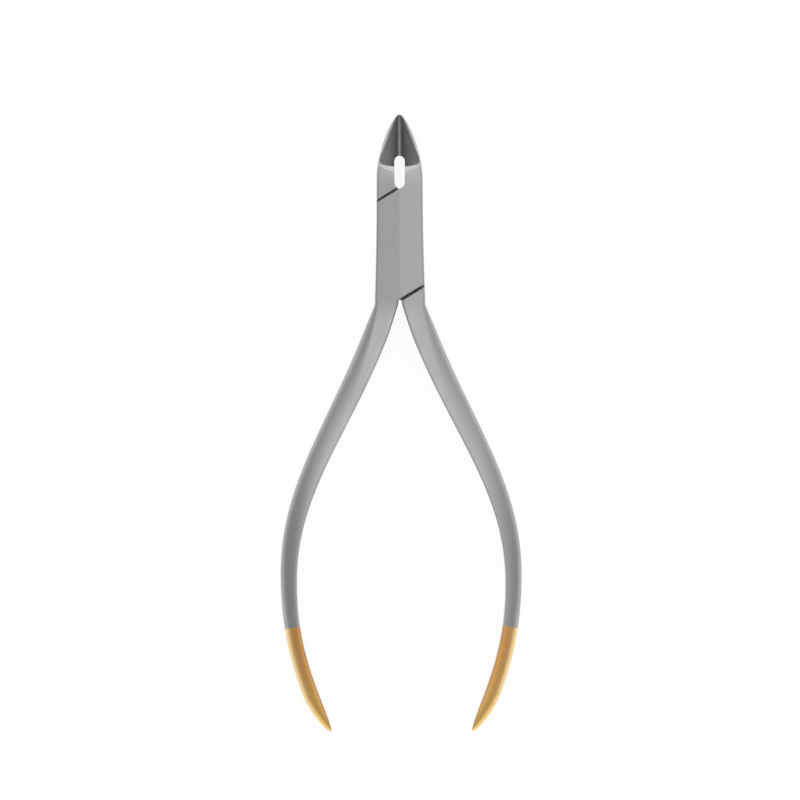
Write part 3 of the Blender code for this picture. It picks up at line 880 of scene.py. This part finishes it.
def grain(tree, place, size, low=0.0, high=1.0):
    """Pattern from low to high whose marks are size wide along X, Y and Z."""
    marks = add_node(tree, "ShaderNodeVectorMath", {0: place, 1: [1 / s for s in size]}, TIMES)
    level = add_node(tree, "ShaderNodeTexNoise", {"Vector": marks, "Scale": 1.0, "Detail": 2.0})
    dark, light = NOISE_LEVELS
    return add_node(tree, "ShaderNodeMapRange", {0: level, 1: dark, 2: light, 3: low, 4: high}, SOFT)


def along(tree, place, axis, start, end, low=0.0, high=1.0):
    """Value that passes softly from low to high between two places along one axis."""
    distance = add_node(tree, "ShaderNodeSeparateXYZ", {0: place}, output=axis)
    return add_node(tree, "ShaderNodeMapRange", {0: distance, 1: start, 2: end, 3: low, 4: high}, SOFT)


def outward(tree, place, zone):
    """Share from 0 where the zone begins to 1 where it is full, by the X of the normal, which
    counts as positive towards the outer side of the handle."""
    normal = add_node(tree, "ShaderNodeTexCoord", output="Normal")
    across = add_node(tree, "ShaderNodeSeparateXYZ", {0: normal}, output="X")
    side = add_node(tree, "ShaderNodeSeparateXYZ", {0: place}, output="X")
    side = add_node(tree, "ShaderNodeMath", {0: side}, {"operation": "SIGN"})
    turned_out = add_node(tree, "ShaderNodeMath", {0: across, 1: side}, TIMES)
    start, full = zone
    return add_node(tree, "ShaderNodeMapRange", {0: turned_out, 1: start, 2: full}, SOFT)


def worn_and_highlit_edge(tree, most):
    """Share of burnished wear and painted edge highlight, up to most along the sharp edges and 0 on the
    faces.
    """
    rounded = add_node(tree, "ShaderNodeBevel", {"Radius": EDGE_WEAR_AND_HIGHLIGHT}, {"samples": EDGE_SAMPLES})
    plain = add_node(tree, "ShaderNodeNewGeometry", output="Normal")
    same = add_node(tree, "ShaderNodeVectorMath", {0: rounded, 1: plain}, DOT, "Value")
    worn_and_lit, sound = EDGE_LEVELS
    return add_node(tree, "ShaderNodeMapRange", {0: same, 1: worn_and_lit, 2: sound, 3: most, 4: 0.0}, SOFT)


def finish_metal(tree, base, roughness, relief, depth):
    """Set the colour and roughness, and raise the surface by depth where relief is high."""
    shader = tree.nodes["Principled BSDF"]
    tree.links.new(base, shader.inputs["Base Color"])
    tree.links.new(roughness, shader.inputs["Roughness"])
    raised = add_node(tree, "ShaderNodeBump", {"Strength": 1.0, "Distance": depth, "Height": relief})
    tree.links.new(raised, shader.inputs["Normal"])


def satin_steel(finish):
    """Forged stainless steel, blasted with glass beads to an even matt grey. One half of the
    joint's face is painted darker than the other as painted shade, the two meeting along the
    middle. The handles are painted a little darker than the joint as painted shade, and lighter
    where they turn towards their inner side as a painted highlight. The grips are brushed along
    their length, which makes their highlights tighter, and are painted darker as painted shade.
    The face is painted lighter towards the step's brink as a painted highlight, and the edges
    are lighter from burnished wear and a painted highlight."""
    material, tree, place = metal("blasted and brushed stainless steel")
    # The blasted share also paints the grips darker, as painted shade
    blasted = along(tree, place, "Y", GRIP_Y, BLASTED_Y)
    # Painted shade: the handles below take a slightly darker steel than the joint
    below = along(tree, place, "Y", HANDLE_Y, JOINT_Y)
    # Painted shade: one half of the joint's face is painted darker than the other
    left = along(tree, place, "X", HALF_BLEND, -HALF_BLEND)
    face = add_node(tree, "ShaderNodeMix", {0: left, 6: finish.steel, 7: finish.shaded_half}, COLOURS, 2)
    # Painted highlight: the face is painted lighter towards the step's brink
    brink = along(tree, place, "Y", STEP_Y - BRINK_FADE, STEP_Y, high=BURNISH_AND_HIGHLIGHT_SHARE)
    face = add_node(tree, "ShaderNodeMix", {0: brink, 6: face, 7: finish.burnish_and_highlight}, COLOURS, 2)
    # Painted highlight: handle faces that turn towards their inner side are painted lighter
    outer = outward(tree, place, OUTER_STEEL)
    wall = outward(tree, place, INNER_WALL)
    plain = add_node(tree, "ShaderNodeMath", {0: outer, 1: wall}, {"operation": "MAXIMUM"})
    handle = add_node(tree, "ShaderNodeMix",
                      {0: plain, 6: finish.handle_highlight, 7: finish.handle_steel}, COLOURS, 2)
    base = add_node(tree, "ShaderNodeMix", {0: below, 6: handle, 7: face}, COLOURS, 2)
    # Painted shade: the grips are painted darker
    base = add_node(tree, "ShaderNodeMix", {0: blasted, 6: finish.shaded_grip_steel, 7: base}, COLOURS, 2)
    stained = grain(tree, place, STAIN, high=STAIN_SHARE)
    base = add_node(tree, "ShaderNodeMix", {0: stained, 6: base, 7: finish.stain}, COLOURS, 2)
    # Edges painted lighter: burnished wear and painted highlight
    edge = worn_and_highlit_edge(tree, BURNISH_AND_HIGHLIGHT_SHARE)
    base = add_node(tree, "ShaderNodeMix", {0: edge, 6: base, 7: finish.burnish_and_highlight}, COLOURS, 2)
    beads = grain(tree, place, (finish.grit,) * 3)
    lines = grain(tree, place, (finish.scratch, finish.scratch * BRUSHED_LINE, finish.scratch))
    relief = add_node(tree, "ShaderNodeMix", {0: blasted, 2: lines, 3: beads})
    uneven = add_node(tree, "ShaderNodeMapRange", {0: relief, 3: -STEEL_SPREAD, 4: STEEL_SPREAD})
    rough = along(tree, place, "Y", GRIP_Y, BLASTED_Y, BRUSHED_ROUGHNESS, BLASTED_ROUGHNESS)
    rough = add_node(tree, "ShaderNodeMath", {0: rough, 1: uneven}, PLUS)
    finish_metal(tree, base, rough, relief, STEEL_RELIEF)
    return material


def ground_steel(finish):
    """Stainless steel cut by a grinding wheel: the wheel's lines run across the tool and make
    the step, the rim beside the inserts and the broken edges glint."""
    material, tree, place = metal("wheel-ground stainless steel")
    lines = grain(tree, place, (finish.scratch * WHEEL_LINE, finish.scratch, finish.scratch))
    base = add_node(tree, "ShaderNodeMix", {0: lines, 6: finish.ground_steel, 7: finish.steel}, COLOURS, 2)
    low, high = GROUND_ROUGHNESS
    rough = add_node(tree, "ShaderNodeMapRange", {0: lines, 3: low, 4: high})
    finish_metal(tree, base, rough, lines, GROUND_RELIEF)
    return material


def lapped_steel(finish):
    """Stainless steel lapped with loose grit inside the joint: matt, and mottled darker by an oiled
    film and by painted shade, so that the narrow gaps at the shoulders look dark."""
    material, tree, place = metal("grit-lapped stainless steel")
    pits = grain(tree, place, (finish.grit,) * 3)
    # The pits are painted darker: oiled film and painted shade
    base = add_node(tree, "ShaderNodeMix", {0: pits, 6: finish.lapped_steel, 7: finish.oil_and_shade}, COLOURS, 2)
    low, high = LAPPED_ROUGHNESS
    rough = add_node(tree, "ShaderNodeMapRange", {0: pits, 3: low, 4: high})
    finish_metal(tree, base, rough, pits, LAPPED_RELIEF)
    return material


def gold_plating(finish):
    """Hard gold over the blasted steel: it keeps the blasted grain and is warm and glossier.
    The faces are red gold. The colour is painted paler on the outer sides as a painted highlight,
    lighter and yellower towards the ends as painted light, and darker on the inner sides as
    painted shade, where the hand has rubbed patches down to the copper, more on the left handle
    than on the right."""
    material, tree, place = metal("gold plating over blasted steel")
    # Painted light: the gold is painted lighter and yellower towards the end
    near_end = along(tree, place, "Y", LIT_END_Y, END_Y)
    face = add_node(tree, "ShaderNodeMix", {0: near_end, 6: finish.red_gold, 7: finish.lit_end_gold}, COLOURS, 2)
    # Painted shade: the inner sides are painted darker
    inner = outward(tree, place, INNER_GOLD)
    base = add_node(tree, "ShaderNodeMix", {0: inner, 6: face, 7: finish.shaded_gold}, COLOURS, 2)
    # Painted highlight: the outer sides are painted paler
    outer = outward(tree, place, OUTER_GOLD)
    base = add_node(tree, "ShaderNodeMix", {0: outer, 6: base, 7: finish.highlight_gold}, COLOURS, 2)
    patch = grain(tree, place, RUBBED_PATCH, *PATCHES)
    hand = along(tree, place, "X", HAND_BLEND, -HAND_BLEND, RIGHT_RUBBED, LEFT_RUBBED)
    patch = add_node(tree, "ShaderNodeMath", {0: patch, 1: hand}, PLUS)
    rubbed = add_node(tree, "ShaderNodeMath", {0: inner, 1: patch}, {**TIMES, "use_clamp": True})
    base = add_node(tree, "ShaderNodeMix", {0: rubbed, 6: base, 7: finish.strike}, COLOURS, 2)
    beads = grain(tree, place, (finish.grit,) * 3)
    low, high = GOLD_ROUGHNESS
    rough = add_node(tree, "ShaderNodeMapRange", {0: beads, 3: low, 4: high})
    finish_metal(tree, base, rough, beads, GOLD_RELIEF)
    return material


def ground_carbide(finish):
    """Cobalt-bonded tungsten carbide, hollow-ground with a diamond wheel: dark grey, with fine
    lines along the cutting edge and cloudy where the binder stands out."""
    material, tree, place = metal("diamond-ground tungsten carbide")
    spacing = finish.scratch * DIAMOND_SPACING
    lines = grain(tree, place, (spacing, finish.scratch * DIAMOND_LINE, spacing))
    cloud = grain(tree, place, BINDER_CLOUD, high=HOLLOW_BINDER)
    base = add_node(tree, "ShaderNodeMix", {0: cloud, 6: finish.carbide, 7: finish.binder}, COLOURS, 2)
    low, high = CARBIDE_ROUGHNESS
    rough = add_node(tree, "ShaderNodeMapRange", {0: lines, 3: low, 4: high})
    finish_metal(tree, base, rough, lines, CARBIDE_RELIEF)
    return material


def honed_carbide(finish):
    """The same carbide honed beside the cutting edge: the strip is smoother, and it is painted
    lighter as a painted highlight, which fades at the tip, where the hone runs out."""
    material, tree, place = metal("honed tungsten carbide")
    spacing = finish.scratch * DIAMOND_SPACING
    lines = grain(tree, place, (spacing, finish.scratch * DIAMOND_LINE, spacing))
    fade = along(tree, place, "Y", HONE_FADE_Y, TIP_Y)
    cloud = grain(tree, place, BINDER_CLOUD, high=HONED_BINDER)
    # Painted highlight: the honed strip is painted lighter than the carbide, fading at the tip
    base = add_node(tree, "ShaderNodeMix", {0: fade, 6: finish.honed, 7: finish.carbide}, COLOURS, 2)
    base = add_node(tree, "ShaderNodeMix", {0: cloud, 6: base, 7: finish.binder}, COLOURS, 2)
    low, high = HONED_ROUGHNESS
    rough = add_node(tree, "ShaderNodeMapRange", {0: lines, 3: low, 4: high})
    finish_metal(tree, base, rough, lines, HONED_RELIEF)
    return material


def pin_steel(finish):
    """Hard pin steel, peened, ground flush and blasted with the joint's faces, so that only a
    faint ring shows where the two steels meet."""
    material, tree, place = metal("flush-ground pin steel")
    beads = grain(tree, place, (finish.grit,) * 3)
    # Painted shade: one half is painted darker, as on the joint's face
    left = along(tree, place, "X", HALF_BLEND, -HALF_BLEND)
    base = add_node(tree, "ShaderNodeMix", {0: left, 6: finish.steel, 7: finish.shaded_half}, COLOURS, 2)
    base = add_node(tree, "ShaderNodeMix", {0: PIN_SHARE, 6: base, 7: finish.pin_steel}, COLOURS, 2)
    low = BLASTED_ROUGHNESS - STEEL_SPREAD
    high = BLASTED_ROUGHNESS + STEEL_SPREAD
    rough = add_node(tree, "ShaderNodeMapRange", {0: beads, 3: low, 4: high})
    finish_metal(tree, base, rough, beads, STEEL_RELIEF)
    return material


def matt_floor(stage):
    """Matt white board: pale all over, with the object's soft shadow on it."""
    material = bpy.data.materials.new("matt white board")
    material.use_nodes = True
    tree = material.node_tree
    glossy = add_node(tree, "ShaderNodeLightPath", output="Is Glossy Ray")
    seen = add_node(tree, "ShaderNodeLightPath", output="Is Camera Ray")
    mirrored = add_node(tree, "ShaderNodeMath", {0: glossy, 1: stage.mirrored_floor}, TIMES)
    share = add_node(tree, "ShaderNodeMath", {0: seen, 1: mirrored}, {"operation": "MAXIMUM"})
    share = add_node(tree, "ShaderNodeMath", {0: share, 1: FLOOR_GLOW_SHARE}, TIMES)
    paint = add_node(tree, "ShaderNodeBsdfDiffuse", {"Color": stage.floor})
    glow = add_node(tree, "ShaderNodeEmission", {"Color": (1, 1, 1, 1), "Strength": FLOOR_GLOW})
    board = add_node(tree, "ShaderNodeMixShader", {0: share, 1: paint, 2: glow})
    under = add_node(tree, "ShaderNodeNewGeometry", output="Backfacing")
    clear = add_node(tree, "ShaderNodeBsdfTransparent")
    both = add_node(tree, "ShaderNodeMixShader", {0: under, 1: board, 2: clear})
    tree.links.new(both, tree.nodes["Material Output"].inputs["Surface"])
    return material


# Operators

class WIRECUTTER_OT_levers(bpy.types.Operator):
    """Build the skins of the two forged levers"""

    bl_idname = "wire_cutter.levers"
    bl_label = "Levers"

    def execute(self, context):
        shape = context.scene.wire_cutter_shape
        finish = context.scene.wire_cutter_finish
        metals = (satin_steel(finish), gold_plating(finish), ground_steel(finish), lapped_steel(finish))
        back = cut_piece("back_lever_skin", forging_mesh(shape), lever_cuts(shape, RIVET_CLEARANCE), metals)
        ride_as(back, "back_half", "back_lever")
        front = cut_piece("front_lever_skin", forging_mesh(shape), lever_cuts(shape, SWAGE_SEAM), metals)
        turned_over(front)
        ride_as(front, "front_half", "front_lever")
        return {"FINISHED"}


class WIRECUTTER_OT_inserts(bpy.types.Operator):
    """Build the two hard-metal cutting inserts"""

    bl_idname = "wire_cutter.inserts"
    bl_label = "Inserts"

    def execute(self, context):
        shape = context.scene.wire_cutter_shape
        finish = context.scene.wire_cutter_finish
        metals = (ground_carbide(finish), honed_carbide(finish))
        levels = ((-PAST, BRAZE_SEAM), (JOINT_THICKNESS + PAST, BRAZE_SEAM))
        for name, body, node in (("left_insert_skin", "back_half", "left_insert"),
                                 ("right_insert_skin", "front_half", "right_insert")):
            cuts = [(prism("outline", seat_outline, levels, HOLLOW), "INTERSECT")]
            cuts += grinding_cuts(shape, HOLLOW, HONED)
            insert = cut_piece(name, loft("insert_blank", nose_rings(shape)), cuts, metals)
            if body == "front_half":
                turned_over(insert)
            ride_as(insert, body, node)
        return {"FINISHED"}


class WIRECUTTER_OT_rivet(bpy.types.Operator):
    """Build the rivet with its ends ground to the joint's crown"""

    bl_idname = "wire_cutter.rivet"
    bl_label = "Rivet"

    def execute(self, context):
        shape = context.scene.wire_cutter_shape
        finish = context.scene.wire_cutter_finish
        profile = ((HEAD_RADIUS, 0), (RIVET_RADIUS, HEAD_DEPTH),
                   (RIVET_RADIUS, JOINT_THICKNESS - HEAD_DEPTH), (HEAD_RADIUS, JOINT_THICKNESS))
        block = loft("joint_block", joint_rings(shape))
        rivet = cut_piece("pivot_rivet_skin", turned("pivot_rivet", profile, 0),
                          [(block, "INTERSECT")], (pin_steel(finish),))
        ride_as(rivet, "front_half", "pivot_rivet")
        return {"FINISHED"}


class WIRECUTTER_OT_stage(bpy.types.Operator):
    """Set the floor, the studio light and the camera"""

    bl_idname = "wire_cutter.stage"
    bl_label = "Stage"

    def execute(self, context):
        stage = context.scene.wire_cutter_stage
        add_floor(context.scene, stage)
        add_sky(context.scene, stage)
        add_camera(context.scene)
        context.scene.view_settings.view_transform = "Standard"
        return {"FINISHED"}


# Stage

def add_floor(scene, stage):
    half = FLOOR_SIZE / 2
    mesh = bpy.data.meshes.new("floor")
    corners = [(-half, -half, 0), (half, -half, 0), (half, half, 0), (-half, half, 0)]
    mesh.from_pydata(corners, [], [(0, 1, 2, 3)])
    mesh.materials.append(matt_floor(stage))
    floor = bpy.data.objects.new("floor", mesh)
    scene.collection.objects.link(floor)


def add_sky(scene, stage):
    """Light tent: bright at the table and dimmer up the walls, with a panel above, one over the
    handle ends and one beyond the tip."""
    world = bpy.data.worlds.new("light tent")
    world.use_nodes = True
    scene.world = world
    tree = world.node_tree
    way = add_node(tree, "ShaderNodeTexCoord", output="Generated")
    up = add_node(tree, "ShaderNodeSeparateXYZ", {0: way}, output="Z")
    light = 0.0
    for (low, level), (high, next_level) in zip(TENT_LEVELS, TENT_LEVELS[1:]):
        rise = (next_level - level) * stage.tent
        band = add_node(tree, "ShaderNodeMapRange", {0: up, 1: low, 2: high, 4: rise})
        light = add_node(tree, "ShaderNodeMath", {0: light, 1: band}, PLUS)
    light = add_node(tree, "ShaderNodeMath", {0: light, 1: TENT_LEVELS[0][1] * stage.tent}, PLUS)
    panels = ((OVERHEAD, stage.overhead), (NEAR_PANEL, stage.near_panel), (FAR_WALL, stage.far_wall))
    for (towards, inner, outer), strength in panels:
        middle = Vector(towards).normalized()
        facing = add_node(tree, "ShaderNodeVectorMath", {0: way, 1: middle}, DOT, "Value")
        reach = {0: facing, 1: math.cos(math.radians(outer)), 2: math.cos(math.radians(inner)), 4: strength}
        panel = add_node(tree, "ShaderNodeMapRange", reach, SOFT)
        light = add_node(tree, "ShaderNodeMath", {0: light, 1: panel}, PLUS)
    tree.links.new(light, tree.nodes["Background"].inputs["Color"])


def add_camera(scene):
    data = bpy.data.cameras.new("camera")
    data.lens = LENS
    data.sensor_width = SENSOR
    camera = bpy.data.objects.new("camera", data)
    scene.collection.objects.link(camera)
    away = PICTURE_WIDTH * LENS / SENSOR
    camera.location = PICTURE_CENTRE + Vector((0, 0, away))
    camera.rotation_euler = Euler((0, 0, PICTURE_TURN))
    data.clip_start = away / CLIP_RATIO
    data.clip_end = away * CLIP_RATIO
    scene.camera = camera


# Panel and registration

class WIRECUTTER_PT_panel(bpy.types.Panel):
    """Sizes, finishes and steps of the wire cutter's looks"""

    bl_label = "Wire cutter"
    bl_idname = "WIRECUTTER_PT_panel"
    bl_space_type = "VIEW_3D"
    bl_region_type = "UI"
    bl_category = "Wire cutter"

    def draw(self, context):
        for group in (context.scene.wire_cutter_shape, context.scene.wire_cutter_finish,
                      context.scene.wire_cutter_stage):
            box = self.layout.box()
            for name in group.__annotations__:
                box.prop(group, name)
        for operator in STEPS:
            self.layout.operator(operator.bl_idname)


GROUPS = {
    "wire_cutter_shape": WireCutterShape,
    "wire_cutter_finish": WireCutterFinish,
    "wire_cutter_stage": WireCutterStage,
}
STEPS = (WIRECUTTER_OT_levers, WIRECUTTER_OT_inserts, WIRECUTTER_OT_rivet, WIRECUTTER_OT_stage)


def register():
    for group in (*GROUPS.values(), *STEPS, WIRECUTTER_PT_panel):
        bpy.utils.register_class(group)
    for name, group in GROUPS.items():
        setattr(bpy.types.Scene, name, PointerProperty(type=group))


def unregister():
    for name in GROUPS:
        delattr(bpy.types.Scene, name)
    for group in (WIRECUTTER_PT_panel, *reversed(STEPS), *GROUPS.values()):
        bpy.utils.unregister_class(group)


def main():
    register()
    bpy.ops.wire_cutter.levers()
    bpy.ops.wire_cutter.inserts()
    bpy.ops.wire_cutter.rivet()
    bpy.ops.wire_cutter.stage()


if __name__ == "__main__":
    main()
